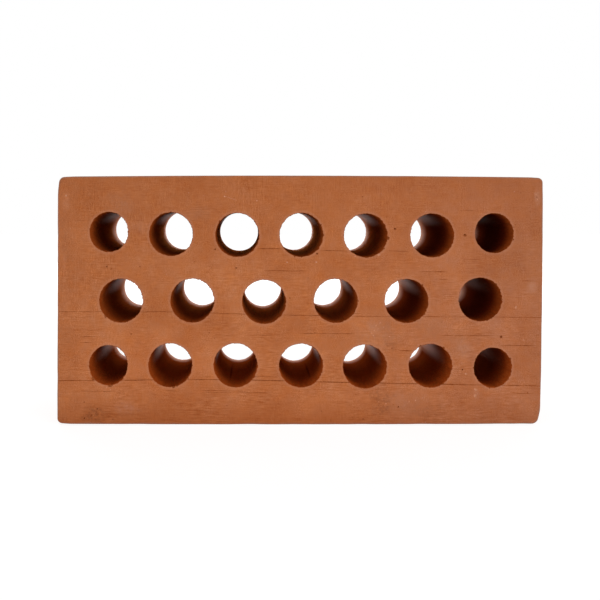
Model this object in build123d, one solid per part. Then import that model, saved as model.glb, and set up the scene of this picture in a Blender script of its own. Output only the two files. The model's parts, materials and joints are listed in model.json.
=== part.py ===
"""Terracotta breeze block: one piece of extruded, wire-cut and fired clay, pierced by rows of round holes.

It stands on one long side, as it is laid in a screen wall, with its holes level.
X runs along its length, Y along the holes and Z up. The origin is the middle of its underside.
All sizes are in millimetres.
"""

from build123d import *
import math
import os

# Overall size of the fired block
LENGTH = 230.0
DEPTH = 75.0
HEIGHT = 118.0

# Holes: the four in the corners of the pattern are the smaller ones
HOLE_DIAMETER = 21.0
CORNER_HOLE_DIAMETER = 19.0

# Clay left around the pattern of holes
END_WALL = 14.0
MIDDLE_END_WALL = 19.2
SIDE_WALL = 17.5

# Least clay between two holes of a row, and between two rows, which sets how many holes there are
LEAST_WEB = 8.0
LEAST_ROW_WEB = 5.0

# Edges: the die rounds those that run with the holes, and handling wears those that the wire cut
DIE_CORNER_RADIUS = 2.2
ARRIS_ROUND = 0.6
RIM_ROUND = 0.5

# Largest share of the clay beside it that a worn edge may take
LARGEST_ROUND_SHARE = 0.45


def row_heights():
    """Heights of the rows' centre lines, from the lowest row up, evenly spread between the long sides."""
    room = HEIGHT - 2 * SIDE_WALL
    rows = max(1, math.floor((room + LEAST_ROW_WEB) / (HOLE_DIAMETER + LEAST_ROW_WEB)))
    if rows == 1:
        return [HEIGHT / 2]
    pitch = (room - HOLE_DIAMETER) / (rows - 1)
    return [SIDE_WALL + HOLE_DIAMETER / 2 + row * pitch for row in range(rows)]


def outer_row(height, outward):
    """(x, z, diameter) of an outer row's holes: a corner hole at each end, then full ones with equal webs.

    A corner hole is flush with its row on the side that faces outward, which is 1 for up and -1 for down.
    """
    corner_x = LENGTH / 2 - END_WALL - CORNER_HOLE_DIAMETER / 2
    corner_z = height + outward * (HOLE_DIAMETER - CORNER_HOLE_DIAMETER) / 2
    room = 2 * corner_x - CORNER_HOLE_DIAMETER
    inner = max(0, math.floor((room - LEAST_WEB) / (HOLE_DIAMETER + LEAST_WEB)))
    web = (room - inner * HOLE_DIAMETER) / (inner + 1)
    pitch = HOLE_DIAMETER + web
    full = [((i - (inner - 1) / 2) * pitch, height, HOLE_DIAMETER) for i in range(inner)]
    corners = [(side * corner_x, corner_z, CORNER_HOLE_DIAMETER) for side in (-1, 1)]
    return [corners[0], *full, corners[1]]


def middle_row(height):
    """(x, z, diameter) of a row between the outer ones, whose holes are spread wider to stagger them."""
    room = LENGTH - 2 * MIDDLE_END_WALL
    count = max(1, math.floor((room + LEAST_WEB) / (HOLE_DIAMETER + LEAST_WEB)))
    pitch = (room - HOLE_DIAMETER) / max(count - 1, 1)
    return [((i - (count - 1) / 2) * pitch, height, HOLE_DIAMETER) for i in range(count)]


def hole_rows():
    """The holes of each row, from the lowest row up."""
    heights = row_heights()
    rows = []
    for number, height in enumerate(heights):
        if number == 0:
            rows.append(outer_row(height, -1))
        elif number == len(heights) - 1:
            rows.append(outer_row(height, 1))
        else:
            rows.append(middle_row(height))
    return rows


def thinnest_clay(holes):
    """The least distance from one hole's wall to another's, or to the outside."""
    to_outside = [
        min(LENGTH / 2 - abs(x), z, HEIGHT - z) - diameter / 2 for x, z, diameter in holes
    ]
    between = [
        math.hypot(x - other_x, z - other_z) - (diameter + other_diameter) / 2
        for i, (x, z, diameter) in enumerate(holes)
        for other_x, other_z, other_diameter in holes[:i]
    ]
    return min(to_outside + between)


def breeze_block():
    """The block as it leaves the kiln: the die's section, cut to depth, with its edges worn."""
    holes = [hole for row in hole_rows() for hole in row]
    with BuildPart() as block:
        with BuildSketch(Plane.XZ):
            with Locations((0, HEIGHT / 2)):
                RectangleRounded(LENGTH, HEIGHT, DIE_CORNER_RADIUS)
            for x, z, diameter in holes:
                with Locations((x, z)):
                    Circle(diameter / 2, mode=Mode.SUBTRACT)
        extrude(amount=DEPTH / 2, both=True)

        cut_faces = block.faces().filter_by(Axis.Y)
        outer_edges = [edge for face in cut_faces for edge in face.outer_wire().edges()]
        rims = [edge for face in cut_faces for wire in face.inner_wires() for edge in wire.edges()]
        clay = thinnest_clay(holes)
        fillet(outer_edges, min(ARRIS_ROUND, LARGEST_ROUND_SHARE * min(DIE_CORNER_RADIUS, clay)))
        fillet(rims, min(RIM_ROUND, LARGEST_ROUND_SHARE * clay))
    return block.part


os.makedirs("parts", exist_ok=True)
export_step(breeze_block(), "parts/breeze_block.step")
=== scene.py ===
"""Looks of a terracotta breeze block: fired clay with wire-cut faces, worn rims and scores, in a studio.

Lengths are in metres, in the block's own frame: X along its length, Y along its holes, Z up from the floor.
"""

import json
import math
import random
from functools import partialmethod

import bpy
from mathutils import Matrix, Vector


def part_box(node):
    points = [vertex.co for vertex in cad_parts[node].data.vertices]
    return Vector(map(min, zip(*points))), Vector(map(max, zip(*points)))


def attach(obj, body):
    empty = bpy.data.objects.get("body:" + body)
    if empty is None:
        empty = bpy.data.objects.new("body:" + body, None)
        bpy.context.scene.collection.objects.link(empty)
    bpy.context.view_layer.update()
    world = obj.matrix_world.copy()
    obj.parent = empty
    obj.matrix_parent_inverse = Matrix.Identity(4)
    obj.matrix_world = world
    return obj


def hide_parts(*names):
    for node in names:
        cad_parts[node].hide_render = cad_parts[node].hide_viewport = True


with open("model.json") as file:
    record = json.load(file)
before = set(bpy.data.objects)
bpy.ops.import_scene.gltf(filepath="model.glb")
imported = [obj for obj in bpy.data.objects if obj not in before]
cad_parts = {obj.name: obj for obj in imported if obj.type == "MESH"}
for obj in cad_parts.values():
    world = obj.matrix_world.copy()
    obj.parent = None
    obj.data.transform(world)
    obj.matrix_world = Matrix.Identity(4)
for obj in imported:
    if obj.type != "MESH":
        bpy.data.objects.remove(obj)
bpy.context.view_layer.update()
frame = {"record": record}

MM = 0.001
LOW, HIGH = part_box("breeze_block")
SIZE = HIGH - LOW

# Edges of the fired block
DIE_CORNER = 2.2 * MM
ARRIS = 0.5 * MM
RIM_ROUND = 0.25 * MM

# How much less than the cores' radius the fired bores have, and how they were squeezed,
# as shares across and upright
SHRINKAGE = 0.15 * MM
SQUEEZE = (0.995, 1.0)
CORNER_SQUEEZE = (0.972, 1.012)

# Grid of the clay: lines between opposite edges, and how many of them crowd at each edge.
# Grid of a bore: sides around it, rings along it, and how many of them crowd at each mouth
LINES = (160, 24, 84)
EDGE_LINES = 5
HOLE_SIDES = 140
HOLE_RINGS = 18
HOLE_EDGE_RINGS = 6

# Crowns of the top and the foot: how far left of the middle they stand out most, as shares of half the
# length, and how much of the top's crown the foot has
TOP_CROWN_SHIFT = 0.16
FOOT_CROWN_SHIFT = 0.08
FOOT_CROWN_SHARE = 0.4

# Edges sharper than this are shaded as edges
SHARP_ANGLE = math.radians(40)

# Photograph: where the middle of the front face's foot is, how many pixels a metre of that face takes,
# the pixel that the holes' axes run to, the camera's distance from that face, and the width of its
# sensor in millimetres
PHOTO_SIZE = 600
FACE_FOOT_PIXEL = (300.1, 424.9)
PIXELS_PER_METRE = 2114.5
VANISHING_PIXEL = (253.6, 216.5)
CAMERA_DISTANCE = 0.3886
SENSOR = 36.0

# Colours of the fired clay, linear
CLAY = (0.410, 0.132, 0.046, 1)
PINK_CLAY = (0.385, 0.129, 0.053, 1)
DEEP_CLAY = (0.318, 0.086, 0.023, 1)
DEEP_PINK = (0.300, 0.095, 0.037, 1)
# Bores: a shaded copy of the clay, a darker painted shade that also colours the seams, and a lighter brown
# of painted light
SHADED_BORE_CLAY = (0.320, 0.060, 0.009, 1)
BORE_SHADE_AND_SEAM = (0.150, 0.018, 0.003, 1)
LIT_BORE_BROWN = (0.370, 0.135, 0.035, 1)
# Broken clay, which the scores' grooves also take as painted shade
BROKEN_CLAY_AND_GROOVE_SHADE = (0.250, 0.066, 0.018, 1)
PALE_DUST = (0.460, 0.230, 0.150, 1)
# Painted light on the bores' walls, lit from behind
PALE_BACKLIGHT = (0.720, 0.260, 0.095, 1)
GREY_DUST = (0.330, 0.150, 0.085, 1)
# Painted shade with some dust on the arrises
SHADED_DUSTY_ARRIS = (0.280, 0.145, 0.100, 1)
LIME = (0.500, 0.200, 0.100, 1)
SOOT = (0.150, 0.045, 0.016, 1)

# Shares of red, green and blue by which the clay pales or deepens, and by which it greys
PALING = (0.7, 1.15, 1.7)
GREYING = (-0.15, 0.2, 1.0)


# Wires and nodes


class Wire:
    """What a node puts out. Arithmetic on wires adds the Math nodes that work it out."""

    def __init__(self, tree, socket):
        self.tree = tree
        self.socket = socket

    def math(self, operation, *others):
        return add(self.tree, "ShaderNodeMath", (self, *others), operation=operation)

    def reversed(self, operation, other):
        return add(self.tree, "ShaderNodeMath", (other, self), operation=operation)

    __add__ = partialmethod(math, "ADD")
    __sub__ = partialmethod(math, "SUBTRACT")
    __rsub__ = partialmethod(reversed, "SUBTRACT")
    __mul__ = partialmethod(math, "MULTIPLY")
    __rmul__ = partialmethod(math, "MULTIPLY")
    __truediv__ = partialmethod(math, "DIVIDE")
    __rtruediv__ = partialmethod(reversed, "DIVIDE")
    __pow__ = partialmethod(math, "POWER")
    __neg__ = partialmethod(math, "MULTIPLY", -1.0)
    __abs__ = partialmethod(math, "ABSOLUTE")
    sign = partialmethod(math, "SIGN")
    root = partialmethod(math, "SQRT")
    least = partialmethod(math, "MINIMUM")
    most = partialmethod(math, "MAXIMUM")
    above = partialmethod(math, "GREATER_THAN")
    below = partialmethod(math, "LESS_THAN")


def find_socket(sockets, key):
    """A socket by its number, its identifier or its name."""
    if isinstance(key, int):
        return sockets[key]
    return next((socket for socket in sockets if socket.identifier == key), None) or sockets[key]


def plug(tree, socket, value):
    """Link a wire, or each wire of a list, to a socket, or set the socket to a plain value."""
    if isinstance(value, list):
        for wire in value:
            tree.links.new(wire.socket, socket)
    elif isinstance(value, Wire):
        tree.links.new(value.socket, socket)
    else:
        socket.default_value = value


def add_node(tree, kind, inputs=(), **settings):
    """A new node. inputs are its sockets' values in order, or by name."""
    node = tree.nodes.new(kind)
    for setting, value in settings.items():
        setattr(node, setting, value)
    pairs = inputs.items() if isinstance(inputs, dict) else enumerate(inputs)
    for key, value in pairs:
        plug(tree, find_socket(node.inputs, key), value)
    return node


def add(tree, kind, inputs=(), output=0, **settings):
    """A new node's output as a wire."""
    return Wire(tree, find_socket(add_node(tree, kind, inputs, **settings).outputs, output))


def split(vector):
    """The three components of a vector wire."""
    node = add_node(vector.tree, "ShaderNodeSeparateXYZ", [vector])
    return [Wire(vector.tree, socket) for socket in node.outputs]


def join(tree, x, y, z):
    return add(tree, "ShaderNodeCombineXYZ", (x, y, z))


def ramp(value, low, high, to_low=0.0, to_high=1.0, smooth=False):
    """The value carried from one range to another, held at its ends."""
    inputs = {"Value": value, "From Min": low, "From Max": high, "To Min": to_low, "To Max": to_high}
    interpolation = "SMOOTHSTEP" if smooth else "LINEAR"
    return add(value.tree, "ShaderNodeMapRange", inputs, interpolation_type=interpolation)


def noise(vector, cell, detail=2.0, roughness=0.5):
    """Noise from 0 to 1 whose coarsest cells are about as wide as cell, in metres."""
    inputs = {"Vector": vector, "Scale": 1 / cell, "Detail": detail, "Roughness": roughness}
    return add(vector.tree, "ShaderNodeTexNoise", inputs)


def sway(vector, cell, **kind):
    """Noise from about -1 to 1."""
    return (noise(vector, cell, **kind) - 0.5) * 2.0


def vector_math(operation, first, second):
    return add(first.tree, "ShaderNodeVectorMath", (first, second), operation=operation)


def scale(vector, factor):
    inputs = {"Vector": vector, "Scale": factor}
    return add(vector.tree, "ShaderNodeVectorMath", inputs, operation="SCALE")


def node_group(kind, name, inputs, outputs):
    """A new node group, and the wires of its inputs by name.

    inputs maps a name to a socket kind and a default, and outputs a name to a socket kind.
    """
    tree = bpy.data.node_groups.new(name, kind)
    for title, (socket_kind, default) in inputs.items():
        socket = tree.interface.new_socket(title, in_out="INPUT", socket_type=socket_kind)
        if default is not None:
            socket.default_value = default
    for title, socket_kind in outputs.items():
        tree.interface.new_socket(title, in_out="OUTPUT", socket_type=socket_kind)
    entry = tree.nodes.new("NodeGroupInput")
    return tree, {socket.name: Wire(tree, socket) for socket in entry.outputs if socket.name}


def put_out(tree, outputs):
    """End a group with its output node."""
    add_node(tree, "NodeGroupOutput", outputs)
    return tree


def use_all(tree, group, inputs):
    """What a group puts out when it is placed in a tree: each output as a wire."""
    kind = "GeometryNodeGroup" if group.bl_idname == "GeometryNodeTree" else "ShaderNodeGroup"
    node = tree.nodes.new(kind)
    node.node_tree = group
    for key, value in inputs.items():
        plug(tree, find_socket(node.inputs, key), value)
    return [Wire(tree, socket) for socket in node.outputs]


def use(tree, group, inputs):
    """A group's first output."""
    return use_all(tree, group, inputs)[0]


FLOAT = "NodeSocketFloat"
INTEGER = "NodeSocketInt"
VECTOR = "NodeSocketVector"
COLOUR = "NodeSocketColor"
SHAPE = "NodeSocketGeometry"
OBJECT = "NodeSocketObject"


# Shape of the clay, in geometry nodes


BLOCK_SIZES = {"Length": (FLOAT, SIZE.x), "Depth": (FLOAT, SIZE.y), "Height": (FLOAT, SIZE.z)}


def named(tree, title, data_type="FLOAT"):
    """A named attribute as a wire."""
    return add(tree, "GeometryNodeInputNamedAttribute", {"Name": title}, data_type=data_type)


def store(shape, title, value, data_type="FLOAT", domain="POINT"):
    inputs = {"Geometry": shape, "Name": title, "Value": value}
    return add(shape.tree, "GeometryNodeStoreNamedAttribute", inputs, data_type=data_type, domain=domain)


def position(tree):
    return add(tree, "GeometryNodeInputPosition")


def moved(shape, **where):
    """The shape with its points at Position, or shifted by Offset."""
    return add(shape.tree, "GeometryNodeSetPosition", {"Geometry": shape, **where})


def realized(shape):
    return add(shape.tree, "GeometryNodeRealizeInstances", {"Geometry": shape})


def in_material(shape, material, where=None):
    inputs = {"Geometry": shape, "Material": material}
    if where:
        inputs["Selection"] = where
    return add(shape.tree, "GeometryNodeSetMaterial", inputs)


def random_number(tree, low, high, seed):
    inputs = {"Min_001": low, "Max_001": high, "Seed": seed}
    return add(tree, "FunctionNodeRandomValue", inputs, output="Value_001", data_type="FLOAT")


def random_vector(tree, low, high, seed):
    inputs = {"Min": low, "Max": high, "Seed": seed}
    return add(tree, "FunctionNodeRandomValue", inputs, data_type="FLOAT_VECTOR")


def edge_spaced(u, half, edge, share):
    """Where grid line u, from -1 to 1, stands: lines beyond share of the way out crowd into the edge."""
    inner = ramp(abs(u), 0.0, share, 0.0, half - edge)
    outer = ramp(abs(u), share, 1.0, 0.0, edge)
    return (inner + outer) * u.sign()


def clay_body_group():
    """The slug of clay before it is pierced: the die's section, cut off by the wire, with worn arrises."""
    tree, given = node_group("GeometryNodeTree", "clay_body", {
        **BLOCK_SIZES, "Die Corner": (FLOAT, DIE_CORNER), "Arris": (FLOAT, ARRIS),
    }, {"Mesh": SHAPE})
    cube = add(tree, "GeometryNodeMeshCube", {
        "Size": (2, 2, 2),
        "Vertices X": LINES[0] + 1, "Vertices Y": LINES[1] + 1, "Vertices Z": LINES[2] + 1,
    })
    grid = split(position(tree))
    halves = [given[title] * 0.5 for title in BLOCK_SIZES]
    corner = given["Die Corner"]
    shares = [1 - 2 * EDGE_LINES / lines for lines in LINES]
    x, y, z = [edge_spaced(u, half, corner, share) for u, half, share in zip(grid, halves, shares)]

    # The die's corners: squares around a corner's centre become circles
    off_x = x - x.sign() * abs(x).least(halves[0] - corner)
    off_z = z - z.sign() * abs(z).least(halves[2] - corner)
    reach = abs(off_x).most(abs(off_z))
    length = (off_x * off_x + off_z * off_z).root().most(1e-9)

    # The wire's arrises, worn unevenly
    wear = noise(join(tree, x, y, z), 14 * MM, detail=3.0)
    arris = given["Arris"] * ramp(wear, 0.3, 0.75, 0.5, 2.2)
    side = (arris - (corner - reach)).most(0.0)
    front = (arris - (halves[1] - abs(y))).most(0.0)
    rounding = side.most(front) / (side * side + front * front).root().most(1e-9)
    new_reach = (reach - (side - side * rounding)) / length
    placed = join(
        tree,
        x - off_x + off_x * new_reach,
        y.sign() * (abs(y) - (front - front * rounding)),
        z - off_z + off_z * new_reach + halves[2],
    )
    return put_out(tree, {"Mesh": moved(cube, Position=placed)})


def hole_cutter_group():
    """What the die's cores leave open: a bore at each point, with mouths that the wire tore ragged."""
    tree, given = node_group("GeometryNodeTree", "hole_cutters", {
        "Holes": (SHAPE, None), "Depth": (FLOAT, SIZE.y), "Rim Round": (FLOAT, RIM_ROUND),
        "Overshoot": (FLOAT, 2 * MM), "Mouth Depth": (FLOAT, 3 * MM),
        "Raggedness": (FLOAT, 0.5 * MM), "Wobble": (FLOAT, 0.15 * MM),
    }, {"Mesh": SHAPE})
    points = store(given["Holes"], "hole_centre", position(tree), "FLOAT_VECTOR")
    core = add(tree, "GeometryNodeMeshCylinder", {
        "Vertices": HOLE_SIDES, "Side Segments": HOLE_RINGS, "Radius": 1.0, "Depth": 2.0,
    })
    cores = realized(add(tree, "GeometryNodeInstanceOnPoints", {"Points": points, "Instance": core}))

    centre = named(tree, "hole_centre", "FLOAT_VECTOR")
    bore = named(tree, "bore_radius")
    ring_x, ring_z, along = split(vector_math("SUBTRACT", position(tree), centre))
    half = given["Depth"] * 0.5
    rim = given["Rim Round"]
    overshoot = given["Overshoot"]
    y = -edge_spaced(along, half + overshoot, overshoot + rim * 3.0, 1 - 2 * HOLE_EDGE_RINGS / HOLE_RINGS)
    inside = half - abs(y)

    bend = ramp(inside / rim, 0.0, 1.0, 1.0, 0.0)
    flare = rim * (1.0 - (1.0 - bend * bend).most(0.0).root()) + (-inside).most(0.0) * 0.4
    flare = flare + named(tree, "far_flare") * ramp(y, half * 0.6, half)
    mouth = ramp(inside, 0.0, given["Mouth Depth"], 1.0, 0.0, smooth=True)
    centre_x, _, centre_z = split(centre)
    behind = ramp(y, -half, half)
    centre_x = centre_x + named(tree, "far_drift_x") * behind
    centre_z = centre_z + named(tree, "far_drift_z") * behind
    ring_x = ring_x * named(tree, "squeeze_across")
    ring_z = ring_z * named(tree, "squeeze_upright")
    wall = join(tree, centre_x + ring_x * bore, y, centre_z + ring_z * bore)
    torn = mouth * ramp(ring_x, 0.0, 0.8, 1.0, 1.6) * ramp(y, -half * 0.5, half * 0.5, 1.0, 0.3)
    ragged = sway(wall, 1.0 * MM, detail=2.0, roughness=0.6) * given["Raggedness"] * torn
    wobble = sway(vector_math("MULTIPLY", wall, (1.0, 0.15, 1.0)), 14 * MM) * given["Wobble"]
    radius = bore + flare + ragged + wobble
    placed = join(tree, centre_x + ring_x * radius, y, centre_z + ring_z * radius)
    return put_out(tree, {"Mesh": moved(cores, Position=placed)})


def rim_chip_group():
    """Places on the holes' rims where the wire tore a crumb out, mostly on the side it left last."""
    tree, given = node_group("GeometryNodeTree", "rim_chips", {
        "Holes": (SHAPE, None), "Depth": (FLOAT, SIZE.y), "Places": (INTEGER, 40),
        "Smallest": (FLOAT, 0.2 * MM), "Largest": (FLOAT, 0.7 * MM),
        "Chance": (FLOAT, 0.15), "Torn Chance": (FLOAT, 0.5), "Seed": (INTEGER, 3),
    }, {"Points": SHAPE})
    points = store(given["Holes"], "hole_centre", position(tree), "FLOAT_VECTOR")
    ring = add(tree, "GeometryNodeMeshCircle", {"Vertices": given["Places"], "Radius": 1.0})
    rings = realized(add(tree, "GeometryNodeInstanceOnPoints", {"Points": points, "Instance": ring}))
    centre = named(tree, "hole_centre", "FLOAT_VECTOR")
    centre_x, _, centre_z = split(centre)
    ring_x, ring_z, _ = split(vector_math("SUBTRACT", position(tree), centre))
    bore = named(tree, "bore_radius")
    patches = ramp(noise(position(tree), 25 * MM), 0.45, 0.6)
    chance = given["Chance"] + given["Torn Chance"] * ramp(ring_x, 0.0, 1.0) * patches
    rim_x = centre_x + ring_x * bore
    rim_z = centre_z + ring_z * bore
    rims = []
    for number, side in enumerate((-1.0, 1.0)):
        draw = random_number(tree, 0.0, 1.0, given["Seed"] + number)
        kept = add(tree, "GeometryNodeDeleteGeometry", {"Geometry": rings, "Selection": draw.above(chance)})
        share = random_number(tree, 0.0, 1.0, given["Seed"] + (number + 2))
        radius = given["Smallest"] + (given["Largest"] - given["Smallest"]) * share * share
        kept = store(kept, "crumb_radius", radius)
        placed = join(tree, rim_x, given["Depth"] * (0.5 * side), rim_z)
        rims.append(moved(kept, Position=placed))
    return put_out(tree, {"Points": add(tree, "GeometryNodeJoinGeometry", {"Geometry": rims})})


def score_cutter_group():
    """Scores that grit on the wire left in the cut faces: thin grooves along lines, of uneven depth."""
    tree, given = node_group("GeometryNodeTree", "score_cutters", {
        "Lines": (SHAPE, None), "Step": (FLOAT, 1.2 * MM),
        "Shake": (FLOAT, 0.2 * MM), "Taper": (FLOAT, 3 * MM),
    }, {"Mesh": SHAPE})
    curves = add(tree, "GeometryNodeMeshToCurve", {"Mesh": given["Lines"]})
    steps = {"Curve": curves, "Length": given["Step"]}
    curves = add(tree, "GeometryNodeResampleCurve", steps, mode="LENGTH")
    place = position(tree)
    shake = sway(place, 9 * MM, detail=3.0) * given["Shake"]
    curves = moved(curves, Offset=join(tree, 0.0, 0.0, shake))
    along = add(tree, "GeometryNodeSplineParameter", output="Length")
    left = add(tree, "GeometryNodeSplineLength") - along
    taper = ramp(along.least(left), 0.0, given["Taper"], 0.15, 1.0)
    uneven = ramp(noise(place, 7 * MM, detail=4.0, roughness=0.65), 0.36, 0.66, 0.45, 1.15)
    section = add(tree, "GeometryNodeCurvePrimitiveCircle", {"Resolution": 6, "Radius": 1.0})
    grooves = add(tree, "GeometryNodeCurveToMesh", {
        "Curve": curves, "Profile Curve": section, "Scale": named(tree, "score_radius") * taper * uneven,
        "Fill Caps": True,
    })
    return put_out(tree, {"Mesh": grooves})


def crumb_cutter_group():
    """Where crumbs of clay have come away: an uneven pebble at each point, of the point's own size."""
    tree, given = node_group("GeometryNodeTree", "crumb_cutters", {
        "Points": (SHAPE, None), "Turn": (VECTOR, (math.tau, math.tau, math.tau)),
        "Thickness": (FLOAT, 1.0), "Knobs": (FLOAT, 0.5), "Seed": (INTEGER, 0),
    }, {"Mesh": SHAPE})
    pebble = add(tree, "GeometryNodeMeshIcoSphere", {"Radius": 1.0, "Subdivisions": 2})
    turn = random_vector(tree, (0, 0, 0), given["Turn"], given["Seed"])
    stretched = random_vector(tree, (0.6, 0.7, 0.6), (1.4, 1.0, 1.0), given["Seed"] + 1.0)
    sizes = scale(stretched, named(tree, "crumb_radius"))
    pebbles = realized(add(tree, "GeometryNodeInstanceOnPoints", {
        "Points": given["Points"], "Instance": pebble,
        "Scale": vector_math("MULTIPLY", sizes, join(tree, 1.0, given["Thickness"], 1.0)),
        "Rotation": add(tree, "FunctionNodeEulerToRotation", [turn]),
    }))
    radius = named(tree, "crumb_radius")
    knobs = sway(scale(position(tree), 1.0 / radius), 1.4) * radius * given["Knobs"]
    offset = scale(add(tree, "GeometryNodeInputNormal"), knobs)
    return put_out(tree, {"Mesh": moved(pebbles, Offset=offset)})


def settling_group():
    """How the block dried, leaned and wore. Every point stays inside the straight block."""
    tree, given = node_group("GeometryNodeTree", "settling", {
        "Mesh": (SHAPE, None), **BLOCK_SIZES,
        "Lean": (FLOAT, 1.4 * MM), "Tilt": (FLOAT, 0.3 * MM), "Waves": (FLOAT, 0.1 * MM),
        "Worn Foot": (FLOAT, 1.55 * MM), "Foot Reach": (FLOAT, 8 * MM),
        "Worn Head": (FLOAT, 0.85 * MM), "Head Reach": (FLOAT, 9 * MM),
        "Left Foot": (FLOAT, 0.5 * MM), "Left Reach": (FLOAT, 7 * MM),
        "Head Corners": (FLOAT, 0.35 * MM), "Corner Reach": (FLOAT, 8 * MM), "Crown": (FLOAT, 0.9 * MM),
        "Roll": (FLOAT, 0.35 * MM), "Roll Height": (FLOAT, 10 * MM), "Roll Depth": (FLOAT, 12 * MM),
    }, {"Mesh": SHAPE})
    place = position(tree)
    x, y, z = split(place)
    half_x = given["Length"] * 0.5
    half_y = given["Depth"] * 0.5
    half_z = given["Height"] * 0.5
    up = z / given["Height"]
    down = 1.0 - up

    # The right end leans in towards its foot, which is worn, and so does the left end towards its head
    lean = given["Lean"] * down ** 2.2 * ramp(x, half_x * 0.5, half_x, smooth=True)
    near_foot = ramp(z, given["Foot Reach"], 0.0)
    foot = given["Worn Foot"] * near_foot ** 1.6 * ramp(x, half_x * 0.8, half_x)
    tilt = given["Tilt"] * up * ramp(x, -half_x * 0.5, -half_x, smooth=True)
    left = ramp(x, -half_x * 0.9, -half_x)
    head = given["Worn Head"] * ramp(down * given["Height"], given["Head Reach"], 0.0) ** 1.6 * left
    near_left = ramp(x, given["Left Reach"] - half_x, -half_x) ** 1.5
    left_foot = given["Left Foot"] * near_left * near_foot
    near_ends = ramp(abs(x), half_x - given["Corner Reach"], half_x) ** 1.5
    head_corners = given["Head Corners"] * near_ends * ramp(up, 0.9, 1.0)

    # The top and the foot are a little crowned, and the front face rolls back above the foot
    off_top = (x / half_x + TOP_CROWN_SHIFT) / (1 + TOP_CROWN_SHIFT)
    off_foot = (x / half_x + FOOT_CROWN_SHIFT) / (1 + FOOT_CROWN_SHIFT)
    droop = given["Crown"] * off_top * off_top * up
    rise = given["Crown"] * FOOT_CROWN_SHARE * off_foot * off_foot * down
    low_down = ramp(z, given["Roll Height"], 0.0) ** 2.0
    roll = given["Roll"] * low_down * ramp(y, -half_y + given["Roll Depth"], -half_y)

    # Slow waves, always inwards
    waves = given["Waves"] * noise(place, 45 * MM, detail=2.0)
    settled = join(
        tree,
        x - lean - foot + tilt + head - x / half_x * waves,
        y + roll - y / half_y * waves,
        z - droop - head_corners + rise + left_foot - (z / half_z - 1.0) * waves,
    )
    straight = store(given["Mesh"], "straight_place", place, "FLOAT_VECTOR")
    return put_out(tree, {"Mesh": moved(straight, Position=settled)})


def pierced_block_group(finishes):
    """The whole block: the slug less its holes, scores and lost crumbs, settled as it was fired."""
    tree, given = node_group("GeometryNodeTree", "pierced_block", {
        "Holes": (SHAPE, None), "Seed": (INTEGER, 7), **BLOCK_SIZES,
        "Scores": (OBJECT, None), "Scratches": (OBJECT, None),
        "Crumbs": (OBJECT, None), "Flecks": (OBJECT, None),
    }, {"Mesh": SHAPE})
    sizes = {title: given[title] for title in BLOCK_SIZES}
    drawn = {
        title: add(tree, "GeometryNodeObjectInfo", [given[title]], output="Geometry")
        for title in ("Scores", "Scratches", "Crumbs", "Flecks")
    }
    pebbles = crumb_cutter_group()
    grooves = score_cutter_group()
    flat_grains = {
        "Points": drawn["Flecks"], "Seed": given["Seed"] + 20.0,
        "Turn": (0, math.tau, 0), "Thickness": 0.2, "Knobs": 0.1,
    }
    chips = use(tree, rim_chip_group(), {"Holes": given["Holes"], "Depth": given["Depth"]})
    bores = use(tree, hole_cutter_group(), {"Holes": given["Holes"], "Depth": given["Depth"]})
    cutters = [
        ("bore_wall", bores),
        ("broken_clay_and_groove_shade", use(tree, pebbles, {"Points": chips, "Seed": given["Seed"] + 10.0})),
        ("broken_clay_and_groove_shade", use(tree, pebbles, {"Points": drawn["Crumbs"], "Seed": given["Seed"]})),
        # The scores' grooves take the darker broken clay as painted shade
        ("broken_clay_and_groove_shade", use(tree, grooves, {"Lines": drawn["Scores"]})),
        ("lime_fleck", use(tree, grooves, {"Lines": drawn["Scratches"]})),
        ("lime_fleck", use(tree, pebbles, flat_grains)),
    ]
    body = in_material(use(tree, clay_body_group(), sizes), finishes["wire_cut_face"])
    sideways = abs(split(add(tree, "GeometryNodeInputNormal"))[1]).below(0.75)
    body = store(body, "slid_on_die", sideways, domain="FACE")
    clay = add(tree, "GeometryNodeMeshBoolean", {
        "Mesh 1": body, "Mesh 2": [in_material(shape, finishes[finish]) for finish, shape in cutters],
    }, operation="DIFFERENCE", solver="MANIFOLD")
    clay = store(clay, "from_bore", add(tree, "GeometryNodeProximity", [bores], output="Distance"))
    clay = realized(use(tree, settling_group(), {"Mesh": clay, **sizes}))
    clay = in_material(clay, finishes["die_skin"], named(tree, "slid_on_die").above(0.5))
    return put_out(tree, {"Mesh": clay})


# Holes and marks


# How far each hole has drifted from its even place, from the left: x and z in millimetres
DRIFT = {
    "bottom": [(0.7, 1.1), (0.2, 0.1), (0.3, 0.1), (0.4, 0.0), (-0.2, -0.5), (0.1, -0.1), (0.2, 0.0)],
    "middle": [(0.5, -0.2), (0.2, -0.2), (0.0, -0.8), (-0.2, -0.3), (-0.8, -0.3), (0.2, 0.5)],
    "top": [(0.9, 0.4), (0.5, 0.3), (1.1, -0.1), (0.6, -0.1), (0.3, -0.3), (0.9, -0.1), (0.4, 0.1)],
}

# How far each hole's far mouth stands from straight behind its near one, from the left: x, z and how
# much wider its radius is, in millimetres
FAR_DRIFT = {
    "bottom": [
        (0.1, 0.1, 0.0), (0.0, 0.0, 0.0), (-0.1, 0.0, 0.0), (0.4, -0.2, 0.1),
        (0.0, -0.1, 0.0), (-0.2, -0.1, 0.0), (0.0, 0.0, 0.0),
    ],
    "middle": [
        (0.3, 0.3, 0.0), (0.1, 0.2, 0.0), (0.1, 0.3, 0.0),
        (0.0, 0.4, 0.0), (-0.7, 0.0, 0.0), (-1.2, 0.2, 0.0),
    ],
    "top": [
        (0.1, 0.3, 0.0), (0.1, 0.5, 0.2), (-0.3, 0.3, 0.5), (0.0, 0.5, 0.1),
        (-0.1, 0.4, 0.0), (-0.5, 0.1, 0.0), (0.0, 0.0, 0.0),
    ],
}

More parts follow.
